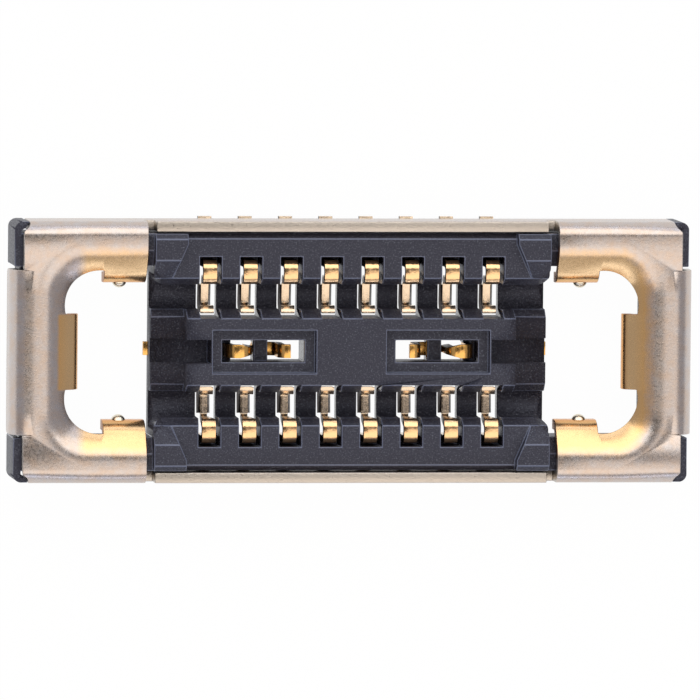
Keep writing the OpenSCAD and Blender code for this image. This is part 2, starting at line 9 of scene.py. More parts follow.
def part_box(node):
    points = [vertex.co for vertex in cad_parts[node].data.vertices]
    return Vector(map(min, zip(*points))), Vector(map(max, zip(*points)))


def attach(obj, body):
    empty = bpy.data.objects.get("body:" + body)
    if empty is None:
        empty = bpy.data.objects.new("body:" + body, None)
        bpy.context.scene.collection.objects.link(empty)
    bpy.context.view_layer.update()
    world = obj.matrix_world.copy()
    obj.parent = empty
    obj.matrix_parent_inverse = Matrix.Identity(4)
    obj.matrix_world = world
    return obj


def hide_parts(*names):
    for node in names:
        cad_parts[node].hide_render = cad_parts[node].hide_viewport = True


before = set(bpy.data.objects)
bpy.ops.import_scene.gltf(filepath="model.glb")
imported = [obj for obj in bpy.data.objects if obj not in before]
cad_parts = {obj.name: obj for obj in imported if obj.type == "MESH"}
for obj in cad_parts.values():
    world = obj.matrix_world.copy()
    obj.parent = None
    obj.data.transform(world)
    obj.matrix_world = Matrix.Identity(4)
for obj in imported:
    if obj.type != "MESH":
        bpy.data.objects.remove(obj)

bl_info = {
    "name": "Shielded receptacle",
    "version": (1, 0, 0),
    "blender": (4, 5, 0),
    "location": "View3D > Sidebar > Receptacle",
    "description": "Dresses the packed frame of a shielded flexible-circuit receptacle",
    "category": "Add Mesh",
}

# Meshes are drawn in millimetres and brought to metres when they are finished
MM = 0.001
# Places in a drawing that differ by less than this, in millimetres, are the same
SAME = 1e-4
# The same for places that come from a bend or from the frame's mesh
CLOSE = 1e-3
# Turn of one facet of a drawn bend, in degrees
BEND_FACET = 9
# Faces that turn by less than this are one flat
FLAT = math.radians(0.5)
# Edges that turn by more than this are rounded, on the housing, on the sheet and on the strips
MOULDED_CORNER = math.radians(25)
SHEET_CORNER = math.radians(50)
HARD_CORNER = math.radians(60)
# A face whose normal has at least this much of X is a wall of a slot, or a side of a strip
SLOT_WALL = 0.9
STRIP_SIDE = 0.8
# Material slots: the housing's polished walls and its edges, whose lighter colour is a painted highlight,
# and the sheared sides of all metal, painted near black on the strips as shade
POLISHED = 1
HIGHLIGHT_EDGE = 2
SHEARED = 1
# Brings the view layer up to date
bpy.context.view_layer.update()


def frame_box(node):
    """Lowest and highest corners of a frame node, in millimetres."""
    low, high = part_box(node)
    return low / MM, high / MM


def nodes_named(start):
    """Names of the frame's nodes that begin with the given word."""
    return sorted(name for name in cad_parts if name.startswith(start))


def linear(hex_colour):
    """Turns an sRGB hex colour into the linear colour that shaders take."""
    channels = [int(hex_colour[i:i + 2], 16) / 255 for i in (1, 3, 5)]
    curved = [c / 12.92 if c <= 0.04045 else ((c + 0.055) / 1.055) ** 2.4 for c in channels]
    return (*curved, 1.0)


def size(description, default):
    """A length property, given in millimetres and kept in metres."""
    return FloatProperty(description=description, default=default * MM, unit="LENGTH", precision=6)


def angle(description, degrees):
    """An angle property, given in degrees and kept in radians."""
    return FloatProperty(description=description, default=math.radians(degrees), subtype="ANGLE")


def share(description, default, low=0, high=1):
    """A property for a share of a whole."""
    return FloatProperty(description=description, default=default, min=low, max=high, subtype="FACTOR")


def colour(description, hex_colour):
    """A colour property whose default is an sRGB hex value."""
    return FloatVectorProperty(
        description=description, default=linear(hex_colour), size=4, subtype="COLOR", min=0, max=1
    )


def named(group):
    """Gives a group's properties their names in the panel, from the words that they are kept under."""
    for word, kept in group.__annotations__.items():
        kept.keywords["name"] = word.replace("_", " ").capitalize()
    return group


def lengths(settings):
    """The lengths of a group of settings by name, in millimetres."""
    kinds = settings.bl_rna.properties
    names = [name for name in settings.__annotations__ if kinds[name].unit == "LENGTH"]
    return {name: getattr(settings, name) / MM for name in names}


@named
class ShellSettings(bpy.types.PropertyGroup):
    """Sizes and colours of the sheet-metal shell."""
    sheet: size("Thickness of the sheet", 0.09)
    foot: size("Height of the lower edge of the side walls", 0.10)
    edge_drop: size("Drop of the plain walls' sheared edge below the top", 0.09)
    frame_length: size("Length of a rolled frame, up to the flap", 1.177)
    relief_width: size("Width of the relief slot beside a frame", 0.08)
    relief_depth: size("Depth of the relief slot below the sheared edge", 0.20)
    side_bend: size("Outside radius of the bend along the sides", 0.125)
    flap_bend: size("Outside radius of the bend at the end flaps", 0.20)
    flap_side: size("Distance from the side to a flap's edge", 0.417)
    flap_foot: size("Height of the lower edge of a flap", 0.26)
    flap_corner: size("Radius of a flap's lower corners", 0.06)
    plate_back: size("How far the top stands back at the corners", 0.105)
    notch: size("Radius of the corner notch", 0.09)
    side_band: size("Width of the band along the sides", 0.195)
    end_band: size("Width of the band at the ends", 0.235)
    corner_sweep: size("Plan radius of the inner bend round a corner", 0.42)
    upper_bend: size("Outside radius of the upper inner bend", 0.24)
    side_lower: size("Outside radius of the lower bend of a side tab", 0.18)
    end_lower: size("Outside radius of the lower bend of an end tab", 0.10)
    flange_angle: angle("Slope of the inner flange", 32)
    side_run: size("How far a side tab reaches in from its bend", 0.34)
    end_run: size("How far an end tab reaches in from its bend", 0.362)
    side_land: size("Upright land at the foot of a side tab", 0.08)
    end_land: size("Upright land at the foot of an end tab", 0.03)
    side_tab_back: size("Plain flange between a side tab and the corner", 0.155)
    end_tab_back: size("Plain flange between the end tab and the corner", 0.185)
    scallop: size("Radius of the scallops in the window's corners", 0.30)
    scallop_side: size("Reach of a scallop past the side tabs", 0.11)
    scallop_end: size("Reach of a scallop past the end tab", 0.125)
    dimple_length: size("Length of a locking dimple", 0.123)
    dimple_height: size("How far a dimple stands off its tab", 0.045)
    dimple_place: share("Place of a dimple along its tab", 0.60, 0.3, 0.7)
    edge: size("Rounding of the sheet's sheared edges", 0.007)
    metal: colour("Colour of the plated sheet", "#c6bfbd")
    metal_warm: colour("Colour where the plating is thinner", "#c9b8ac")
    metal_bright: colour("Colour of the plated sheared edges", "#c4bcb3")
    # Pale colour of the dimples, a painted highlight on their gold
    dimple_highlight: colour("Colour of the locking dimples", "#e6dcc8")
    # The gold and the deep gold are one plating, painted paler on the sides as a highlight and deeper at
    # the end as shade
    gold: colour("Colour of the gold on the sides of a window", "#eec793")
    deep_gold: colour("Colour of the gold at the end of a window", "#f4b45e")
    # Darker gold at the foot of the tabs, a painted shade of the dark below that they reflect
    foot_painted_light: colour("Colour of the gold at the foot of a tab", "#dc984c")
    bare_edge: colour("Colour of the bare sheared edges in a window", "#b07a4c")


@named
class HousingSettings(bpy.types.PropertyGroup):
    """Finish of the moulded housing."""
    edge: size("Rounding of the moulded edges", 0.008)
    edge_foot: size("Height above which the edges are rounded", 0.14)
    groove_end: size("Distance from the middle to the inner end of a groove", 1.236)
    groove_side: size("Distance from the middle line past a groove's side", 0.13)
    slot_room: size("Reach of a signal slot beyond its contact's side", 0.045)
    slot_width: size("Width of a signal slot", 0.19)
    slot_bar: size("Distance from the middle line to the outer end of the bars", 0.58)
    slot_draw: size("How far a slot's wall is drawn in beside its bar", 0.014)
    slot_end: size("Distance from the middle to the far ends of the signal slots", 0.83)
    plastic: colour("Colour of the moulding", "#26252f")
    # The moulding's edges are painted lighter in this colour, as a highlight along them
    edge_highlight: colour("Colour of the moulding along its edges", "#5c6276")
    plastic_sheen: colour("Tint of the moulding's highlights", "#dfe6ff")
    filler: colour("Colour of the glass filler at the surface", "#8d95a3")


@named
class ContactSettings(bpy.types.PropertyGroup):
    """Sizes and colours of the bent strips."""
    strip: size("Thickness of the strip", 0.06)
    throat: size("Width of a contact's neck where it is narrowest", 0.056)
    bend: size("Inside radius of the bends", 0.03)
    head: size("Inside radius of a signal contact's head", 0.0425)
    centre_head: size("Inside radius of a centre contact's head", 0.055)
    bar_height: size("Height of the bar's underside", 0.04)
    head_out: size("Distance from the middle to the face of a signal head", 0.785)
    arm_out: size("Distance from the middle to the inner face of a spring arm", 0.32)
    arm_foot: size("Upright length at the foot of a spring arm", 0.06)
    arm: size("Length of the leaning part of a spring arm", 0.05)
    tip: size("Length of the tip", 0.03)
    arm_lean: angle("Lean of a spring arm", 4)
    tip_turn: angle("Turn of the tip", 17)
    centre_head_out: size("Distance from the middle to a centre head's face", 1.07)
    centre_arm_out: size("Distance from the middle to a centre arm's face", 0.56)
    centre_tip: size("Length of a centre arm's turned-over tip", 0.014)
    centre_arm_top: size("Height of a centre contact's spring arm", 0.43)
    edge: size("Rounding of the strip's edges", 0.008)
    roll_over: size("Width drawn down along both sides of a bar", 0.026)
    crown: share("Fall of a coined head to its side, as a share of its radius", 0.45)
    tip_face: angle("Slope of the tip's end down to the head", 14)
    bar_slope: angle("Slope of a bar down to the island", 6)
    gold_foot: size("Height at which the gold gives way to the barrier", 0.36)
    gold: colour("Colour of the signal contacts' plating", "#f5cb9a")
    centre_gold: colour("Colour of the centre contacts' plating", "#e9b568")
    barrier: colour("Colour of the bars' nickel-rich plating", "#e0ccb4")
    # Near-black colour of the sheared sides, a painted shade of the dark slot walls that they reflect
    sheared: colour("Colour of the strip's sheared sides", "#2c1a12")


@named
class StageSettings(bpy.types.PropertyGroup):
    """Camera, lamps and floor."""
    lean_x: FloatProperty(description="Lean of the view along X, per unit of height", default=-0.135)
    lean_y: FloatProperty(description="Lean of the view along Y, per unit of height", default=0.07)
    target_x: size("Point in the middle of the picture, along X", 0.0143)
    target_y: size("Point in the middle of the picture, along Y", 0.0026)
    target_z: size("Height of the point in the middle of the picture", 0.30)
    view_width: size("Width that the picture covers", 6.024)
    distance: size("Distance of the camera", 120.0)
    floor: colour("Colour of the floor", "#f6f6f6")
    shadow_share: share("Share of the floor's look that comes from the lamps", 0.02)


def trace(bm, geom, at, ahead, side, path):
    """Draws geometry along a path of flats and bends, and returns the geometry at its end.

    Each step is a flat and then a turn towards `side`, in radians, with its radius from the traced point
    to the bend's axis. Points, edges and faces can be drawn.
    """
    at, ahead, side = Vector(at), Vector(ahead), Vector(side)
    axis = ahead.cross(side)
    for flat, turn, radius in path:
        if flat:
            geom = push(bm, geom, ahead * flat)
            at = at + ahead * flat
        if turn:
            centre = at + side * math.copysign(radius, turn)
            steps = max(2, round(abs(math.degrees(turn)) / BEND_FACET))
            geom = bmesh.ops.spin(
                bm, geom=geom, cent=centre, axis=axis, angle=turn, steps=steps, use_duplicate=False
            )["geom_last"]
            rotation = Matrix.Rotation(turn, 3, axis)
            at = centre + rotation @ (at - centre)
            ahead = rotation @ ahead
            side = rotation @ side
    return geom


def points(geom):
    """The points in a list of geometry."""
    return [g for g in geom if isinstance(g, bmesh.types.BMVert)]


def lines(geom):
    """The edges in a list of geometry."""
    return [g for g in geom if isinstance(g, bmesh.types.BMEdge)]


def once(geom):
    """Each of the given points or edges once, in their first order."""
    return list(dict.fromkeys(geom))


def push(bm, geom, move):
    """Extrudes points, edges or a face by a vector and returns the geometry at the new end."""
    if any(isinstance(g, bmesh.types.BMFace) for g in geom):
        made = bmesh.ops.extrude_face_region(bm, geom=geom)["geom"]
        moved = points(made)
        faces = [g for g in made if isinstance(g, bmesh.types.BMFace)]
        end = [*faces, *once(e for f in faces for e in f.edges), *once(v for f in faces for v in f.verts)]
    elif lines(geom):
        made = bmesh.ops.extrude_edge_only(bm, edges=lines(geom))["geom"]
        moved = points(made)
        end = moved + [e for e in lines(made) if set(e.verts) <= set(moved)]
    else:
        end = moved = bmesh.ops.extrude_vert_indiv(bm, verts=geom)["verts"]
    bmesh.ops.translate(bm, vec=move, verts=moved)
    return list(end)


def push_steps(bm, geom, move, steps):
    """Extrudes geometry by a vector in even steps."""
    for _ in range(steps):
        geom = push(bm, geom, move / steps)
    return geom


def with_ends(edges):
    """The edges together with their points."""
    return list(edges) + once(v for e in edges for v in e.verts)


def middle(edge):
    """The middle of an edge."""
    return (edge.verts[0].co + edge.verts[1].co) / 2


def edges_at(bm, test):
    """Edges that have both ends in places that pass a test."""
    return [e for e in bm.edges if all(test(v.co) for v in e.verts)]


def near(a, b, tolerance=SAME):
    """Whether two lengths in millimetres are the same, to within the tolerance."""
    return abs(a - b) < tolerance


def object_of(bm, name, materials):
    """Makes a mesh object of a drawing in millimetres, outside the scene."""
    bmesh.ops.scale(bm, vec=(MM, MM, MM), verts=bm.verts)
    mesh = bpy.data.meshes.new(name)
    bm.to_mesh(mesh)
    bm.free()
    for material in materials:
        mesh.materials.append(material)
    return bpy.data.objects.new(name, mesh)


def finish_piece(bm, name, slot, nodes, *materials):
    """Makes a piece of a drawing in millimetres, and stands it in for the frame's nodes."""
    piece = object_of(bm, name, materials)
    piece.data.shade_smooth()
    bpy.context.scene.collection.objects.link(piece)
    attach(piece, "root")
    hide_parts(*nodes)
    return piece


def sharp_edges(bm, limit):
    """Edges whose faces turn by more than a limit in radians."""
    return [e for e in bm.edges if len(e.link_faces) == 2 and e.calc_face_angle(0) > limit]


def mirror_all(bm, *axes):
    """Doubles a drawing by mirroring it across each of the axes, and turns its faces outwards."""
    for axis in axes:
        bmesh.ops.mirror(bm, geom=bm.verts[:] + bm.edges[:] + bm.faces[:], axis=axis, merge_dist=SAME)
    bmesh.ops.remove_doubles(bm, verts=bm.verts, dist=SAME)
    bmesh.ops.recalc_face_normals(bm, faces=bm.faces)


# Materials

def per_mm(width):
    """Texture scale at which a pattern's features are about this wide, in millimetres."""
    return 1 / (width * MM)


def add_node(tree, kind, inputs=(), **settings):
    """Adds a shader node with its settings, fills or links its inputs, and returns its outputs."""
    node = tree.nodes.new("ShaderNode" + kind)
    for key, value in settings.items():
        setattr(node, key, value)
    filled = inputs if isinstance(inputs, dict) else dict(enumerate(inputs))
    for key, value in filled.items():
        if isinstance(value, bpy.types.NodeSocket):
            tree.links.new(value, node.inputs[key])
        else:
            node.inputs[key].default_value = value
    return node.outputs


def empty_tree(owner):
    """The node tree of a material or the world, with nothing in it."""
    owner.use_nodes = True
    owner.node_tree.nodes.clear()
    return owner.node_tree


def new_surface(name):
    """A material, its empty node tree, and the Object coordinates in it."""
    material = bpy.data.materials.new(name)
    tree = empty_tree(material)
    return material, tree, add_node(tree, "TexCoord")["Object"]


def finish_surface(tree, height, depth, **inputs):
    """Adds the shader and the output, with a bump of the given depth in millimetres."""
    bump = add_node(tree, "Bump", {"Height": height, "Distance": depth * MM})[0]
    sockets = {key.replace("_", " "): value for key, value in inputs.items()}
    shader = add_node(tree, "BsdfPrincipled", {**sockets, "Normal": bump})[0]
    add_node(tree, "OutputMaterial", (shader,))


def moulded_lcp(settings):
    """Glass-filled liquid crystal polymer, moulded against a spark-eroded tool.

    The eye gets a near-black slate surface with a dry, sandy grain and faint pale flecks of filler.
    """
    material, tree, place = new_surface("moulded_lcp")
    # Widths in millimetres, then detail and roughness. The tool's craters are 0.01 to 0.03 mm wide, and a
    # coarser layer is added, because only that one shows. Glass fibres are about 0.01 mm thick.
    coarse, fine, fibres = (
        add_node(tree, "TexNoise", {
            "Vector": place, "Scale": per_mm(width), "Detail": detail, "Roughness": roughness
        })["Fac"]
        for width, detail, roughness in ((0.045, 3, 0.65), (0.016, 2, 0.6), (0.013, 2, 0.7))
    )
    flecks = add_node(tree, "MapRange", (fibres, 0.55, 0.75, 0, 0.42))[0]
    coarse = add_node(tree, "Math", (coarse, 0.8), operation="MULTIPLY")[0]
    height = add_node(tree, "Math", (fine, 0.5, coarse), operation="MULTIPLY_ADD")[0]
    finish_surface(
        tree, height, 0.011,
        Base_Color=add_node(
            tree, "Mix", {0: flecks, 6: settings.plastic, 7: settings.filler}, data_type="RGBA"
        )[2],
        Roughness=add_node(tree, "MapRange", (fine, 0.3, 0.7, 0.34, 0.58))[0],
        IOR=1.58,
        Specular_Tint=settings.plastic_sheen,
    )
    return material


def polished_lcp(name, skin_and_highlight, settings):
    """The same moulding where the tool was ground and polished: its slot walls and its edges.
    The edges are painted lighter, as a highlight along them.

    The eye gets a darker, smoother surface with thin cool highlights along the edges.
    """
    material, tree, place = new_surface(name)
    # Flow marks are about 0.05 mm wide
    haze = add_node(tree, "TexNoise", {"Vector": place, "Scale": per_mm(0.05)})["Fac"]
    finish_surface(
        tree, haze, 0.001,
        Base_Color=skin_and_highlight,
        Roughness=add_node(tree, "MapRange", (haze, 0.3, 0.7, 0.20, 0.30))[0],
        IOR=1.63,
        Specular_Tint=settings.plastic_sheen,
    )
    return material


def flange_map(tree, place, settings):
    """Place in millimetres, distance past the corner's middle along X, and run in from the window's bend.

    The last two are the same in all four quarters of the shell.
    """
    high = frame_box("shield_shell")[1]
    sweep = settings.corner_sweep / MM
    # No point of the shell is as high as this corner, so Z drops out of the distance past it
    corner = (high.x - settings.end_band / MM - sweep, high.y - settings.side_band / MM - sweep, high.z * 2)
    in_mm = add_node(tree, "VectorMath", {0: place, "Scale": 1 / MM}, operation="SCALE")[0]
    quarter = add_node(tree, "VectorMath", (in_mm,), operation="ABSOLUTE")[0]
    past = add_node(tree, "VectorMath", (quarter, corner), operation="SUBTRACT")[0]
    past = add_node(tree, "VectorMath", (past, (0, 0, 0)), operation="MAXIMUM")[0]
    away = add_node(tree, "VectorMath", (past,), operation="LENGTH")["Value"]
    run = add_node(tree, "Math", (sweep, away), operation="SUBTRACT")[0]
    return in_mm, add_node(tree, "SeparateXYZ", (past,))["X"], run


def plated_sheet(name, foot_painted_light, settings):
    """Nickel-plated copper alloy, drawn from rolled sheet, with a gold flash on the mating flanges.

    The eye gets a warm grey metal with a fine leathery grain from drawing, soft streaked highlights
    along the bends, and smoother yellow flanges whose gold fades out over the bends. The gold is painted
    paler on the side limbs as a highlight, and deeper at the end limb and darker at the tabs' feet as
    shade.
    On the left frame the gold is left out round the corners, so that on the end limb only its tab is gilt.
    """
    material, tree, place = new_surface(name)
    in_mm, past_x, run = flange_map(tree, place, settings)
    signed = add_node(tree, "SeparateXYZ", (in_mm,))
    # Drawing leaves grains about 0.02 mm wide, and the plating's tone changes over a tenth of a millimetre
    leather, tone = (
        add_node(tree, "TexNoise", {
            "Vector": place, "Scale": per_mm(width), "Detail": detail, "Roughness": roughness
        })["Fac"]
        for width, detail, roughness in ((0.024, 3, 0.62), (0.11, 4, 0.65))
    )

    # The gold starts on the bend, later at the end limb, along a wandering line
    start = add_node(tree, "MapRange", (past_x, 0.05, 0.25, 0.025, 0.10))[0]
    inside = add_node(tree, "Math", (run, start), operation="SUBTRACT")[0]
    inside = add_node(tree, "Math", (tone, 0.06, inside), operation="MULTIPLY_ADD")[0]
    gilt = add_node(tree, "MapRange", (inside, 0.02, 0.13))[0]

    # The left mask lets through the side limbs and a rectangle on the end tab
    left = add_node(tree, "MapRange", (signed["X"], 0, -0.001))[0]
    off_middle = add_node(tree, "Math", (signed["Y"],), operation="ABSOLUTE")[0]
    beside = add_node(tree, "MapRange", (past_x, 0, 0.09, 1, 0))[0]
    across = add_node(tree, "MapRange", (off_middle, 0.335, 0.315))[0]
    down = add_node(tree, "MapRange", (run, 0.160, 0.185))[0]
    tab = add_node(tree, "Math", (across, down), operation="MULTIPLY")[0]
    let_through = add_node(tree, "Math", (beside, tab), operation="MAXIMUM")[0]
    mask = add_node(tree, "Mix", {0: left, 2: 1, 3: let_through})[0]
    gilt = add_node(tree, "Math", (gilt, mask), operation="MULTIPLY")[0]

    # The gold is painted paler on the side limbs as a highlight, deeper at the end limb and darker at the
    # foot of the tabs as shade; on the dimples the foot's colour is their pale painted highlight
    end_limb_shade = add_node(tree, "MapRange", (past_x, 0.15, 0.36))[0]
    low = add_node(tree, "MapRange", (signed["Z"], 0.42, 0.50, 1, 0))[0]
    thin = add_node(tree, "MapRange", (tone, 0.35, 0.65))[0]
    bare = add_node(tree, "Mix", {0: thin, 6: settings.metal, 7: settings.metal_warm}, data_type="RGBA")[2]
    gold = add_node(tree, "Mix", {0: end_limb_shade, 6: settings.gold, 7: settings.deep_gold}, data_type="RGBA")[2]
    gold = add_node(tree, "Mix", {0: low, 6: gold, 7: foot_painted_light}, data_type="RGBA")[2]

    # Gold fills the grain, so it is smoother
    rough = add_node(tree, "MapRange", (leather, 0.3, 0.7, 0.24, 0.34))[0]
    depth = add_node(tree, "MapRange", (gilt, 0, 1, 1, 0.4))[0]
    height = add_node(tree, "Math", (leather, depth), operation="MULTIPLY")[0]
    finish_surface(
        tree, height, 0.0007,
        Base_Color=add_node(tree, "Mix", {0: gilt, 6: bare, 7: gold}, data_type="RGBA")[2],
        Metallic=1,
        Roughness=add_node(tree, "Math", (gilt, -0.04, rough), operation="MULTIPLY_ADD")[0],
    )
    return material


def sheared_sheet(settings):
    """The sheet's sheared edges: bright where they were plated after shearing, bare copper in the windows.

    The eye gets a pale line along the walls and a dull brown one round the windows, with a torn grain.
    """
    material, tree, place = new_surface("sheared_sheet")
    run = flange_map(tree, place, settings)[2]
    inside = add_node(tree, "MapRange", (run, 0, 0.04))[0]
    # Tear marks of a shear are up to 0.02 mm wide
    tear = add_node(
        tree, "TexNoise", {"Vector": place, "Scale": per_mm(0.018), "Detail": 3, "Roughness": 0.7}
    )["Fac"]
    bright, bare = settings.metal_bright, settings.bare_edge
    finish_surface(
        tree, tear, 0.003,
        Base_Color=add_node(tree, "Mix", {0: inside, 6: bright, 7: bare}, data_type="RGBA")[2],
        Metallic=1,
        Roughness=add_node(tree, "MapRange", (tear, 0.3, 0.7, 0.26, 0.42))[0],
    )
    return material


def shaded_strip_side(settings):
    """Bare phosphor bronze on the sides of the contacts, where the strip was stamped out, painted near
    black as the shade of the dark slot walls that these sides reflect.

    The eye gets a dark brown line beside each gold face.
    """
    material, tree, place = new_surface("shaded_strip_side")
    # Tear marks of a punch are up to 0.02 mm wide
    tear = add_node(
        tree, "TexNoise", {"Vector": place, "Scale": per_mm(0.02), "Detail": 2, "Roughness": 0.6}
    )["Fac"]
    rough = add_node(tree, "MapRange", (tear, 0.3, 0.7, 0.30, 0.45))[0]
    # The sides are painted near black, as shade
    finish_surface(tree, tear, 0.002, Base_Color=settings.sheared, Metallic=1, Roughness=rough)
    return material


def plated_strip(name, gold, barrier, settings):
    """Hard gold over nickel on stamped phosphor bronze, paler where the nickel barrier shows on the bars.

    The eye gets a bright yellow metal with clean streaked highlights, and paler bars with a rolled grain.
    """
    material, tree, place = new_surface(name)
    height = add_node(tree, "SeparateXYZ", (place,))["Z"]
    # Rolling marks are 0.01 mm wide, and are drawn wider so that they show
    tone = add_node(
        tree, "TexNoise", {"Vector": place, "Scale": per_mm(0.035), "Detail": 3, "Roughness": 0.6}
    )["Fac"]
    fade = 0.06 * MM
    low = add_node(tree, "MapRange", (height, settings.gold_foot, settings.gold_foot + fade, 1, 0))[0]
    rough = add_node(tree, "MapRange", (tone, 0.3, 0.7, 0.16, 0.26))[0]
    finish_surface(
        tree, tone, 0.0014,
        Base_Color=add_node(tree, "Mix", {0: low, 6: gold, 7: barrier}, data_type="RGBA")[2],
        Metallic=1,
        Roughness=add_node(tree, "Math", (low, 0.02, rough), operation="MULTIPLY_ADD")[0],
    )
    return material


def studio_paper(settings):
    """Seamless white paper, matte: the camera and reflections see plain white with a soft shadow."""
    material = bpy.data.materials.new("studio_paper")
    tree = empty_tree(material)
    rays = add_node(tree, "LightPath")
    seen = add_node(tree, "Math", (rays["Is Camera Ray"], rays["Is Glossy Ray"]), operation="MAXIMUM")[0]
    seen = add_node(tree, "Math", (seen, rays["Is Transmission Ray"]), operation="MAXIMUM")[0]
    share_white = add_node(tree, "Math", (seen, 1 - settings.shadow_share), operation="MULTIPLY")[0]
    paper = add_node(tree, "BsdfDiffuse", {"Color": settings.floor})[0]
    white = add_node(tree, "Emission", {"Color": (1, 1, 1, 1), "Strength": 1})[0]
    mixed = add_node(tree, "MixShader", (share_white, paper, white))[0]
    add_node(tree, "OutputMaterial", (mixed,))
    return material


def black_card():
    """Matte black card, which keeps the zone round the lens dark in the reflections."""
    material = bpy.data.materials.new("black_card")
    tree = empty_tree(material)
    card = add_node(tree, "BsdfDiffuse", {"Color": linear("#2a2a2c")})[0]
    add_node(tree, "OutputMaterial", (card,))
    return material


# Housing

def build_housing(settings):
    """The moulding, drawn from the frame's own solid with its edges rounded as a mould leaves them."""
    bm = bmesh.new()
    bm.from_mesh(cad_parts["housing"].data)
    bmesh.ops.scale(bm, vec=(1 / MM, 1 / MM, 1 / MM), verts=bm.verts)
    bmesh.ops.remove_doubles(bm, verts=bm.verts, dist=SAME)
    bmesh.ops.dissolve_limit(
        bm, angle_limit=FLAT, verts=bm.verts, edges=bm.edges, use_dissolve_boundaries=False
    )
    draw_in_slots(bm, settings)
    mark_polished(bm, settings)
    round_moulded_edges(bm, settings)
    bmesh.ops.triangulate(bm, faces=[f for f in bm.faces if len(f.verts) > 4])
    piece = finish_piece(
        bm, "housing_moulding", "housing_plastic", ["housing"], moulded_lcp(settings),
        polished_lcp("polished_lcp", settings.plastic, settings),
        # The rounded edges get a lighter colour, painted as their highlight
        polished_lcp("edge_highlight_lcp", settings.edge_highlight, settings),
    )
    piece.data.set_sharp_from_angle(angle=HARD_CORNER)
    weigh_normals(piece)


def round_moulded_edges(bm, settings):
    """Rounds the longer edges that can be seen from above, in the slot of the lighter material that paints
    a highlight along them.

    The groove's edges stay sharp, because only a thin wall stands between them and the funnel.
    """
    width = settings.edge / MM
    rounded = []
    for edge in sharp_edges(bm, MOULDED_CORNER):
        long = edge.calc_length() > width * 4
        high = middle(edge).z > settings.edge_foot / MM
        at_groove = any(
            abs(v.co.x) > settings.groove_end / MM and abs(v.co.y) < settings.groove_side / MM
            for v in edge.verts
        )
        if long and high and not at_groove:
            rounded.append(edge)
    bmesh.ops.bevel(
        bm, geom=rounded, offset=width, affect="EDGES", segments=2, profile=0.5, material=HIGHLIGHT_EDGE,
        clamp_overlap=False,
    )


def draw_in_slots(bm, settings):
    """Draws in one wall of each signal slot beside the bar, which leaves less light between the two."""
    for node in nodes_named("signal_contact"):
        low, high = frame_box(node)
        wall_x = (low.x + high.x) / 2 - settings.slot_width / MM / 2
        for vert in bm.verts:
            beside = settings.slot_bar / MM > abs(vert.co.y) and vert.co.y * high.y > 0
            if beside and near(vert.co.x, wall_x, CLOSE):
                vert.co.x += settings.slot_draw / MM


def mark_polished(bm, settings):
    """Puts the walls of the contact slots in the polished material's slot."""
    end_x = frame_box("signal_contact_a8")[1].x + settings.slot_room / MM
    for face in bm.faces:
        place = face.calc_center_median()
        wall = abs(face.normal.x) > SLOT_WALL
        if wall and abs(place.x) < end_x and abs(place.y) < settings.slot_end / MM:
            face.material_index = POLISHED


def weigh_normals(piece):
    """Keeps the flats flat beside rounded edges."""
    modifier = piece.modifiers.new("flat faces", "WEIGHTED_NORMAL")
    modifier.keep_sharp = True
    modifier.weight = 80


# Shell

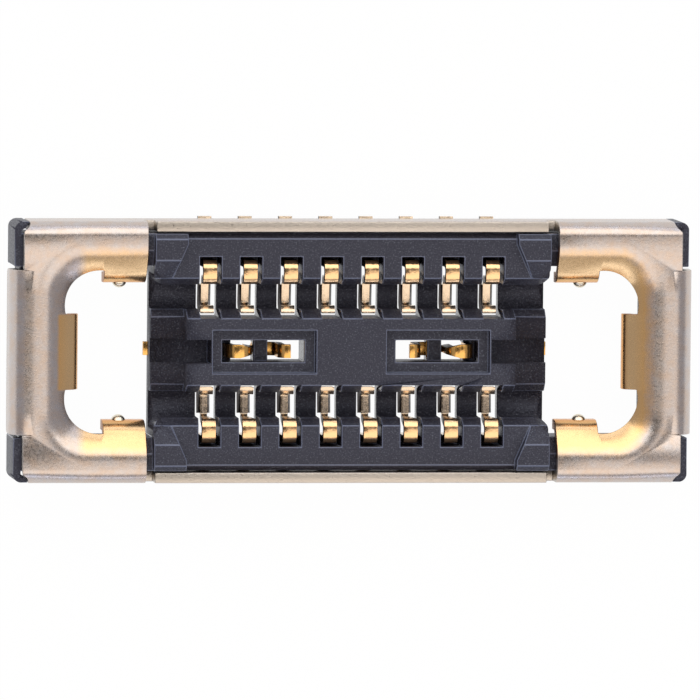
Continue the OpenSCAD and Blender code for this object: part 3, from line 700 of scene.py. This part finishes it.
class ShellPlan:
    """Places in one quarter of the shell, in millimetres, worked out from the settings and the frame."""

    def __init__(self, settings):
        high = frame_box("shield_shell")[1]
        s = lengths(settings)
        self.s = s
        self.side_y, self.flap_x, self.top = high.y, high.x, high.z
        self.angle = settings.flange_angle
        self.frame_x = self.flap_x - s["frame_length"]
        self.plate_x = self.flap_x - s["plate_back"]
        self.flap_y = self.side_y - s["flap_side"]
        self.start_x = self.flap_x - s["end_band"]
        self.start_y = self.side_y - s["side_band"]
        self.corner = Vector((self.start_x - s["corner_sweep"], self.start_y - s["corner_sweep"], 0))
        self.tab_x = self.corner.x - s["side_tab_back"]
        self.tab_y = self.corner.y - s["end_tab_back"]
        self.dimple_x = self.frame_x + (self.tab_x - self.frame_x) * settings.dimple_place
        self.side_face = self.start_y - s["side_run"]
        self.relief_z = self.top - s["edge_drop"] - s["relief_depth"]
        self.scallop = Vector((
            self.start_x - s["end_run"] + s["scallop_end"] - s["scallop"],
            self.side_face + s["scallop_side"] - s["scallop"], 0,
        ))
        self.bend_run = s["upper_bend"] * math.sin(self.angle)
        self.bend_drop = s["upper_bend"] * (1 - math.cos(self.angle))
        self.edge_run = self.run_at(self.scalloped(Vector((self.tab_x, self.side_face, 0))))
        self.edge_z = self.height_at(self.edge_run)

    def slope_to(self, run):
        """Length along the slope from the end of the upper bend to a point with the given run in plan."""
        return (run - self.bend_run) / math.cos(self.angle)

    def flat_of(self, run, lower):
        """Length of a tab's slope, from the upper bend to the lower one."""
        return self.slope_to(run - lower * (1 - math.sin(self.angle)))

    def height_at(self, run):
        """Height of the slope's face at the given run."""
        return self.top - self.bend_drop - (run - self.bend_run) * math.tan(self.angle)

    def notch_end(self, y):
        """Where the side band ends along X, at the given Y."""
        # The notch is a circle a third of its radius past the plate's end and a tenth outside the side
        centre = Vector((self.plate_x + self.s["notch"] / 3, self.side_y + self.s["notch"] / 10))
        inside = self.s["notch"] ** 2 - (centre.y - y) ** 2
        return min(self.plate_x, centre.x - math.sqrt(inside)) if inside > 0 else self.plate_x

    def run_at(self, point):
        """Run in plan from the start of the upper bend to the given point."""
        past = Vector((max(point.x - self.corner.x, 0), max(point.y - self.corner.y, 0)))
        return self.s["corner_sweep"] - past.length

    def scalloped(self, point):
        """The point moved down its slope to the scallop's circle."""
        origin = Vector((min(point.x, self.corner.x), min(point.y, self.corner.y), 0))
        ahead = Vector((point.x - origin.x, point.y - origin.y, 0)).normalized()
        gap = origin - self.scallop
        along = -gap.dot(ahead)
        reach = along + math.sqrt(along ** 2 - gap.length_squared + self.s["scallop"] ** 2)
        moved = origin + ahead * reach
        moved.z = self.height_at(self.run_at(moved))
        return moved


# Steps of the window's corner, and of the edges that run down to its scallop
CORNER_STEPS = 24
SCALLOP_STEPS = 8


def draw_side_section(bm, plan):
    """The section of a side limb, from the wall's foot to the depth where the scallop starts."""
    s = plan.s
    start = bm.verts.new((plan.frame_x, plan.side_y, s["foot"]))
    trace(bm, [start], start.co, (0, 0, 1), (0, -1, 0), [
        (plan.relief_z - s["foot"], 0, 0),
        (plan.top - s["side_bend"] - plan.relief_z, math.pi / 2, s["side_bend"]),
        (s["side_band"] - s["side_bend"], plan.angle, s["upper_bend"]),
        (plan.slope_to(plan.edge_run), 0, 0),
    ])


def draw_along_side(bm, plan, edges):
    """Carries edges at the frame's inner end along the side, past the tab and up to the corner."""
    geom = push(bm, with_ends(edges), Vector((plan.tab_x - plan.frame_x, 0, 0)))
    return push_steps(bm, geom, Vector((plan.corner.x - plan.tab_x, 0, 0)), SCALLOP_STEPS)


def draw_ring(bm, plan):
    """Carries the upper bend and the slope along the side, round the corner and along the end."""
    at_start = edges_at(bm, lambda p: near(p.x, plan.frame_x))
    ring = [e for e in at_start if middle(e).y < plan.side_y - plan.s["side_bend"] + SAME]
    geom = draw_along_side(bm, plan, ring)
    flange = [e for e in lines(geom) if middle(e).y < plan.start_y + SAME]
    geom = bmesh.ops.spin(
        bm, geom=with_ends(flange), cent=plan.corner, axis=(0, 0, 1), angle=-math.pi / 2,
        steps=CORNER_STEPS, use_duplicate=False,
    )["geom_last"]
    geom = push_steps(bm, geom, Vector((0, plan.tab_y - plan.corner.y, 0)), SCALLOP_STEPS)
    push(bm, geom, Vector((0, -plan.tab_y, 0)))


def draw_tabs(bm, plan):
    """Lengthens the slopes to the tabs, with their lower bends and upright lands."""
    s = plan.s
    edge_x = plan.start_x - plan.edge_run
    edge_y = plan.start_y - plan.edge_run
    at_edge = edges_at(bm, lambda p: near(p.z, plan.edge_z))
    side = [e for e in at_edge if all(near(v.co.y, edge_y) and v.co.x < plan.tab_x + SAME for v in e.verts)]
    end = [e for e in at_edge if all(near(v.co.x, edge_x) and v.co.y < plan.tab_y + SAME for v in e.verts)]
    cos, sin = math.cos(plan.angle), math.sin(plan.angle)
    for edges, at, slope, inward, tab in (
        (side, (plan.frame_x, edge_y, plan.edge_z), (0, -cos, -sin), (0, sin, -cos), "side"),
        (end, (edge_x, 0, plan.edge_z), (-cos, 0, -sin), (sin, 0, -cos), "end"),
    ):
        flat = plan.flat_of(s[tab + "_run"], s[tab + "_lower"]) - plan.slope_to(plan.edge_run)
        trace(bm, with_ends(edges), at, slope, inward, [
            (flat, math.pi / 2 - plan.angle, s[tab + "_lower"]),
            (s[tab + "_land"], 0, 0),
        ])


def cut_scallop(bm, plan):
    """Draws the slope's lower edge back to the scallop between the two tabs."""
    for vert in bm.verts:
        at_edge = near(vert.co.z, plan.edge_z) and near(plan.run_at(vert.co), plan.edge_run)
        if at_edge and vert.co.x > plan.tab_x + SAME and vert.co.y > plan.tab_y - SAME:
            vert.co = plan.scalloped(vert.co)


def draw_side_wall(bm, plan):
    """The band along the side of the frame, the relief slot and the plain wall beyond it."""
    s = plan.s
    outer = [
        e for e in edges_at(bm, lambda p: near(p.x, plan.frame_x))
        if middle(e).y > plan.side_y - s["side_bend"] and middle(e).z < plan.top - SAME
    ]
    geom = push(bm, draw_along_side(bm, plan, outer), Vector((plan.plate_x - plan.corner.x, 0, 0)))
    for vert in points(geom):
        vert.co.x = plan.notch_end(vert.co.y)
    at_frame = edges_at(bm, lambda p: near(p.x, plan.frame_x) and near(p.y, plan.side_y))
    low = [e for e in at_frame if middle(e).z < plan.relief_z]
    geom = push(bm, with_ends(low), Vector((-s["relief_width"], 0, 0)))
    shoulder = max(points(geom), key=lambda v: v.co.z)
    push(bm, [shoulder], Vector((0, 0, s["relief_depth"])))
    wall_x = plan.frame_x - s["relief_width"]
    wall = edges_at(bm, lambda p: near(p.x, wall_x) and near(p.y, plan.side_y))
    push(bm, with_ends(wall), Vector((-wall_x, 0, 0)))


def draw_flap(bm, plan):
    """The flat and the bend at the end, and the flap down to its rounded corner."""
    s = plan.s
    level = edges_at(bm, lambda p: near(p.x, plan.start_x) and near(p.z, plan.top))
    end = [e for e in level if middle(e).y < plan.corner.y]
    trace(bm, with_ends(end), (plan.start_x, 0, plan.top), (1, 0, 0), (0, 0, -1), [
        (s["end_band"] - s["flap_bend"], math.pi / 2, s["flap_bend"]),
        (plan.top - s["flap_bend"] - s["flap_foot"], 0, 0),
    ])
    bend_x = plan.flap_x - s["flap_bend"]
    side = edges_at(bm, lambda p: near(p.y, plan.corner.y) and p.x > bend_x - SAME)
    geom = push(bm, with_ends(side), Vector((0, plan.flap_y - plan.corner.y, 0)))
    foot = min(points(geom), key=lambda v: v.co.z)
    bmesh.ops.bevel(
        bm, geom=[foot], offset=s["flap_corner"], affect="VERTICES", segments=6, profile=0.5, material=-1
    )


def fill_corner_plate(bm, plan):
    """The flat of the corner, between the sweep, the side band, the notch and the flap."""
    def find(x, y):
        return min(bm.verts, key=lambda v: (v.co - Vector((x, y, plan.top))).length)

    tip = find(plan.plate_x, plan.side_y - plan.s["side_bend"])
    step = bm.verts.new((plan.plate_x, plan.flap_y, plan.top))
    bm.edges.new((tip, step))
    bm.edges.new((step, find(plan.flap_x - plan.s["flap_bend"], plan.flap_y)))
    loop = [
        e for e in edges_at(bm, lambda p: near(p.z, plan.top))
        if len(e.link_faces) < 2
        and all(v.co.x > plan.corner.x - SAME and v.co.y > plan.corner.y - SAME for v in e.verts)
    ]
    bmesh.ops.contextual_create(bm, geom=loop)


def draw_dimples(bm, plan):
    """A rounded boss on each side tab, cut off inside the sheet and at the tab's foot."""
    s = plan.s
    half = s["dimple_length"] / 2
    radius = (half ** 2 + s["dimple_height"] ** 2) / (2 * s["dimple_height"])
    slope = plan.flat_of(s["side_run"], s["side_lower"]) * math.sin(plan.angle)
    foot = plan.top - plan.bend_drop - slope - s["side_lower"] * math.cos(plan.angle) - s["side_land"]
    bmesh.ops.create_uvsphere(bm, u_segments=32, v_segments=20, radius=radius)
    centre = (plan.dimple_x, plan.side_face + radius - s["dimple_height"], foot + half)
    bmesh.ops.translate(bm, vec=centre, verts=bm.verts)
    for point, outwards in (
        ((0, plan.side_face + s["sheet"] / 3, 0), (0, 1, 0)),
        ((0, 0, foot + s["edge"]), (0, 0, -1)),
    ):
        cut = bmesh.ops.bisect_plane(
            bm, geom=bm.verts[:] + bm.edges[:] + bm.faces[:], plane_co=point, plane_no=outwards,
            clear_outer=True,
        )["geom_cut"]
        bmesh.ops.contextual_create(bm, geom=lines(cut))
    mirror_all(bm, "X", "Y")


def build_shell(settings):
    """The shell as one bent sheet: drawn as a face, mirrored to four quarters and given its thickness."""
    plan = ShellPlan(settings)
    bm = bmesh.new()
    draw_side_section(bm, plan)
    draw_ring(bm, plan)
    draw_tabs(bm, plan)
    cut_scallop(bm, plan)
    draw_side_wall(bm, plan)
    draw_flap(bm, plan)
    bmesh.ops.remove_doubles(bm, verts=bm.verts, dist=SAME)
    fill_corner_plate(bm, plan)
    mirror_all(bm, "Y", "X")
    # An open sheet has no outside of its own, so it is turned by its top
    if max(bm.faces, key=lambda f: f.calc_center_median().z).normal.z < 0:
        bmesh.ops.reverse_faces(bm, faces=bm.faces)
    piece = finish_piece(
        bm, "shell_sheet", "shell_metal", ["shield_shell"],
        plated_sheet("plated_sheet", settings.foot_painted_light, settings), sheared_sheet(settings),
    )
    sheet = piece.modifiers.new("sheet", "SOLIDIFY")
    sheet.thickness = settings.sheet
    sheet.offset = -1
    sheet.use_even_offset = True
    sheet.use_quality_normals = True
    sheet.material_offset_rim = SHEARED
    edges = piece.modifiers.new("sheared edges", "BEVEL")
    edges.width = settings.edge
    edges.segments = 2
    edges.limit_method = "ANGLE"
    edges.angle_limit = SHEET_CORNER
    weigh_normals(piece)
    dimples = bmesh.new()
    draw_dimples(dimples, plan)
    finish_piece(
        dimples, "shell_dimples", "shell_metal", ["shield_shell"],
        # The dimples' gold is painted pale, as their highlight
        plated_sheet("plated_dimple", settings.dimple_highlight, settings),
    )


# Contacts

# Shares of the bend's radius: where the neck gives way to the bar, and up to where the bar's top counts
NECK_END = 0.7
BAR_TOP = 0.3
# Share of the strip's thickness that takes in the points of its inner side in a bend
INNER_SIDE = 0.6
# A loop of points this close to the bend's end keeps the bar's section up to it
LOOP_BACK = 0.001
QUARTER = math.pi / 2


def draw_strip(c, kind, top, tail, width, bar_slope, arm):
    """Bends a strip across the part: up the leg, over the head, down to the bar, along and up the arm."""
    head = c[kind + "head"]
    leg = c[kind + "head_out"] - c["strip"]
    bar = leg - 2 * head - c[kind + "arm_out"]
    turned = c["bend"] + c["strip"]
    high = top - head - c["strip"]
    bm = bmesh.new()
    half, up = width / 2, c["strip"]
    corners = ((-half, 0), (half, 0), (half, up), (-half, up))
    end = bm.faces.new([bm.verts.new((x, tail, z)) for x, z in corners])
    tip = trace(bm, [end, *end.edges, *end.verts], (0, tail, 0), (0, -1, 0), (0, 0, 1), [
        (tail - leg - turned, QUARTER, turned),
        (high - turned, -2 * QUARTER, head),
        (high - c["bar_height"] - turned, QUARTER - bar_slope, turned),
        (LOOP_BACK, 0, 0),
        (bar - 2 * turned - LOOP_BACK, QUARTER + bar_slope, turned),
        *arm,
    ])
    return bm, tip


def narrow_throat(bm, c, head_z, width):
    """Draws the neck in towards its foot, from the full width under the head."""
    face = c["head_out"] - 2 * (c["head"] + c["strip"])
    foot_z = c["bar_height"] + c["strip"] + c["bend"]
    for vert in bm.verts:
        if face - c["bend"] * NECK_END < vert.co.y < face + c["strip"] + SAME and vert.co.z < head_z:
            part = min(max((vert.co.z - foot_z) / (head_z - foot_z), 0), 1)
            vert.co.x *= (c["throat"] + (width - c["throat"]) * part) / width


def narrow_neck(bm, c, head_y, width):
    """Draws a centre contact in from the middle of its head to its neck."""
    neck_y = head_y - c["centre_head"] - c["strip"]
    for vert in bm.verts:
        if neck_y - c["bend"] + SAME < vert.co.y < head_y:
            part = max((vert.co.y - neck_y) / (head_y - neck_y), 0)
            vert.co.x *= (c["throat"] + (width - c["throat"]) * part) / width


def coin_crown(bm, axis, radius, fall):
    """Flattens the outside of a head's arch, whose fall to its side grows with the cube of the distance."""
    for vert in bm.verts:
        out = vert.co.y - axis[0]
        if vert.co.z > axis[1] - SAME and near(math.hypot(out, vert.co.z - axis[1]), radius, CLOSE):
            vert.co.z = axis[1] + radius - fall * radius * abs(out / radius) ** 3


def face_tip(geom, slope):
    """Slopes the end of the tip down to the head's side, so that it leads the plug in."""
    centre = sum((v.co for v in points(geom)), Vector()) / len(points(geom))
    for vert in points(geom):
        vert.co.z = centre.z - (vert.co.y - centre.y) * math.tan(slope)


def roll_over_bar(bm, c, width):
    """Draws in the upper side of the bar and of the bend beyond it, as the punch drew its edges down."""
    neck_face = c["head_out"] - 2 * (c["head"] + c["strip"])
    bend_y = c["arm_out"] + c["strip"] + c["bend"]
    bend_z = c["bar_height"] + c["strip"] + c["bend"]
    for vert in bm.verts:
        y, z = vert.co.y, vert.co.z
        if y < bend_y:
            away = math.hypot(y - bend_y, z - bend_z)
            upper = z < bend_z and away < c["bend"] + c["strip"] * INNER_SIDE
        else:
            on_bar = bend_z - c["bend"] * BAR_TOP > z > c["bar_height"] + c["strip"] / 2
            upper = on_bar and y < neck_face - c["bend"] * NECK_END
        if upper:
            vert.co.x *= 1 - 2 * c["roll_over"] / width


def shear_sides(bm):
    """Turns the strip's faces outwards and puts its two sides in the sheared edge's slot."""
    bmesh.ops.recalc_face_normals(bm, faces=bm.faces)
    for face in bm.faces:
        if abs(face.normal.x) > STRIP_SIDE:
            face.material_index = SHEARED


def finish_strip(bm, c, matrix, node, slot, materials):
    """Rounds the strip's edges, brings it to its place and makes its piece."""
    bmesh.ops.bevel(
        bm, geom=sharp_edges(bm, HARD_CORNER), offset=c["edge"], affect="EDGES", segments=2, profile=0.5,
        material=-1, clamp_overlap=True,
    )
    bmesh.ops.transform(bm, matrix=matrix, verts=bm.verts)
    bmesh.ops.recalc_face_normals(bm, faces=bm.faces)
    finish_piece(bm, node + "_strip", slot, [node], *materials)


def build_signal_contact(node, settings, *materials):
    """One signal contact, bent from its tail over its head to the tip of its spring arm."""
    c = lengths(settings)
    low, high = frame_box(node)
    width = high.x - low.x
    turned = c["bend"] + c["strip"]
    arm = [
        (c["arm_foot"], settings.arm_lean, turned),
        (c["arm"], -settings.tip_turn, c["bend"]),
        (c["tip"], 0, 0),
    ]
    bm, tip = draw_strip(c, "", high.z, max(-low.y, high.y), width, settings.bar_slope, arm)
    radius = c["head"] + c["strip"]
    face_tip(tip, settings.tip_face)
    narrow_throat(bm, c, high.z - radius, width)
    coin_crown(bm, (c["head_out"] - radius, high.z - radius), radius, settings.crown)
    shear_sides(bm)
    roll_over_bar(bm, c, width)
    row = Matrix.Diagonal((1, 1 if high.y > 0 else -1, 1, 1))
    place = Matrix.Translation(((low.x + high.x) / 2, 0, 0)) @ row
    finish_strip(bm, c, place, node, "contact_plating", materials)


def build_centre_contact(node, settings, *materials):
    """One centre contact, drawn across the part and turned to lie along the island."""
    c = lengths(settings)
    low, high = frame_box(node)
    width = high.y - low.y
    arm = [
        (c["centre_arm_top"] - c["bar_height"] - 2 * (c["bend"] + c["strip"]), -QUARTER, c["bend"]),
        (c["centre_tip"], 0, 0),
    ]
    bm = draw_strip(c, "centre_", high.z, max(-low.x, high.x), width, 0, arm)[0]
    narrow_neck(bm, c, c["centre_head_out"] - c["centre_head"] - c["strip"], width)
    shear_sides(bm)
    along = Matrix.Rotation(-QUARTER if high.x > 0 else QUARTER, 4, "Z")
    finish_strip(bm, c, along, node, "centre_plating", materials)


# Stage

# Distances from the part, in millimetres
LAMP_DISTANCE = 120
CARD_DISTANCE = 108
# Lamps: leans in degrees, sizes in millimetres, radiance and tint
LAMPS = (
    ("far box", 0, 43, 230, 104, 1.58, "#fff9ee"),
    ("near box", 2, -25, 230, 104, 1.10, "#fff2e0"),
    ("far low box", 0, 78, 260, 22, 1.4, "#e6eeff"),
    ("near low box", 0, -76, 260, 24, 1.5, "#e2ebff"),
)


def toward(lean_x, lean_y, distance):
    """Point at a distance from the middle, leaning by the given degrees from the upright."""
    way = Vector((math.tan(math.radians(lean_x)), math.tan(math.radians(lean_y)), 1)).normalized()
    return way * distance * MM


def facing(thing, place, target=Vector()):
    """Points an object's -Z side at a target and its X side along the part, and adds it to the scene."""
    away = (place - target).normalized()
    right = (Vector((1, 0, 0)) - away * away.x).normalized()
    turn = Matrix((right, away.cross(right), away)).transposed().to_4x4()
    thing.matrix_world = Matrix.Translation(place) @ turn
    bpy.context.scene.collection.objects.link(thing)


def lamp(name, lean_x, lean_y, size_x, size_y, radiance, tint):
    """A soft rectangular lamp of an even radiance, with its size in millimetres."""
    data = bpy.data.lights.new(name, "AREA")
    data.shape = "RECTANGLE"
    data.size = size_x * MM
    data.size_y = size_y * MM
    data.energy = math.pi * data.size * data.size_y * radiance
    data.color = linear(tint)[:3]
    facing(bpy.data.objects.new(name, data), toward(lean_x, lean_y, LAMP_DISTANCE))


def flat_piece(name, size_x, size_y, material):
    """A flat stage piece, with its half sizes in millimetres."""
    bm = bmesh.new()
    bmesh.ops.create_grid(bm, x_segments=1, y_segments=1, size=1)
    bmesh.ops.scale(bm, vec=(size_x, size_y, 1), verts=bm.verts)
    return object_of(bm, name, [material])


def room_light():
    """A dim grey room round the stage."""
    world = bpy.data.worlds.new("studio")
    tree = empty_tree(world)
    room = add_node(tree, "Background", {"Color": linear("#aaa9ae"), "Strength": 1})[0]
    add_node(tree, "OutputWorld", (room,))
    return world


def build_stage(settings):
    """White paper, soft boxes on both long sides, black cards round the lens and the photographed view."""
    scene = bpy.context.scene
    scene.world = room_light()
    paper = flat_piece("paper", 400, 400, studio_paper(settings))
    scene.collection.objects.link(paper)
    black = black_card()
    lens_card = flat_piece("card round the lens", 40, 22, black)
    side_card = flat_piece("card beside the lens", 24, 11, black)
    facing(lens_card, toward(-23, 4.5, CARD_DISTANCE))
    facing(side_card, toward(17, 10, CARD_DISTANCE))
    for card in (lens_card, side_card):
        card.visible_camera = False
    for values in LAMPS:
        lamp(*values)

    data = bpy.data.cameras.new("camera")
    data.sensor_width = 36
    data.lens = data.sensor_width * settings.distance / settings.view_width
    data.clip_start = 0.001
    data.clip_end = 10
    camera = bpy.data.objects.new("camera", data)
    target = Vector((settings.target_x, settings.target_y, settings.target_z))
    away = Vector((settings.lean_x, settings.lean_y, 1)).normalized()
    facing(camera, target + away * settings.distance, target)
    scene.camera = camera
    scene.view_settings.view_transform = "Standard"


# Operators

class RECEPTACLE_OT_housing(bpy.types.Operator):
    """Build the moulded housing"""
    bl_idname = "receptacle.housing"
    bl_label = "Housing"

    def execute(self, context):
        build_housing(context.scene.receptacle_housing)
        return {"FINISHED"}


class RECEPTACLE_OT_shell(bpy.types.Operator):
    """Build the bent sheet-metal shell"""
    bl_idname = "receptacle.shell"
    bl_label = "Shell"

    def execute(self, context):
        build_shell(context.scene.receptacle_shell)
        return {"FINISHED"}


class RECEPTACLE_OT_signal_contacts(bpy.types.Operator):
    """Build both rows of signal contacts"""
    bl_idname = "receptacle.signal_contacts"
    bl_label = "Signal contacts"

    def execute(self, context):
        settings = context.scene.receptacle_contacts
        face = plated_strip("gold_plated_strip", settings.gold, settings.barrier, settings)
        side = shaded_strip_side(settings)
        for node in nodes_named("signal_contact"):
            build_signal_contact(node, settings, face, side)
        return {"FINISHED"}


class RECEPTACLE_OT_centre_contacts(bpy.types.Operator):
    """Build the two centre contacts"""
    bl_idname = "receptacle.centre_contacts"
    bl_label = "Centre contacts"

    def execute(self, context):
        settings = context.scene.receptacle_contacts
        gold = settings.centre_gold
        face = plated_strip("gold_plated_centre_strip", gold, gold, settings)
        side = shaded_strip_side(settings)
        for node in nodes_named("centre_contact"):
            build_centre_contact(node, settings, face, side)
        return {"FINISHED"}


class RECEPTACLE_OT_stage(bpy.types.Operator):
    """Build the paper, the lamps and the camera"""
    bl_idname = "receptacle.stage"
    bl_label = "Stage"

    def execute(self, context):
        build_stage(context.scene.receptacle_stage)
        return {"FINISHED"}


class RECEPTACLE_PT_panel(bpy.types.Panel):
    """Buttons and settings of the receptacle"""
    bl_idname = "RECEPTACLE_PT_panel"
    bl_label = "Receptacle"
    bl_space_type = "VIEW_3D"
    bl_region_type = "UI"
    bl_category = "Receptacle"

    def draw(self, context):
        for operator, word, group in ROWS:
            box = self.layout.box()
            box.operator(operator.bl_idname)
            settings = getattr(context.scene, word)
            for name in group.__annotations__:
                box.prop(settings, name)


# Each operator, the scene's word for its settings, and their group
ROWS = (
    (RECEPTACLE_OT_housing, "receptacle_housing", HousingSettings),
    (RECEPTACLE_OT_shell, "receptacle_shell", ShellSettings),
    (RECEPTACLE_OT_signal_contacts, "receptacle_contacts", ContactSettings),
    (RECEPTACLE_OT_centre_contacts, "receptacle_contacts", ContactSettings),
    (RECEPTACLE_OT_stage, "receptacle_stage", StageSettings),
)
GROUPS = {word: group for operator, word, group in ROWS}
CLASSES = (*GROUPS.values(), *(row[0] for row in ROWS), RECEPTACLE_PT_panel)


def register():
    for cls in CLASSES:
        bpy.utils.register_class(cls)
    for name, group in GROUPS.items():
        setattr(bpy.types.Scene, name, PointerProperty(type=group))


def unregister():
    for name in GROUPS:
        delattr(bpy.types.Scene, name)
    for cls in reversed(CLASSES):
        bpy.utils.unregister_class(cls)


def main():
    """Registers the add-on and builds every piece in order."""
    register()
    bpy.ops.receptacle.housing()
    bpy.ops.receptacle.shell()
    bpy.ops.receptacle.signal_contacts()
    bpy.ops.receptacle.centre_contacts()
    bpy.ops.receptacle.stage()


if __name__ == "__main__":
    main()
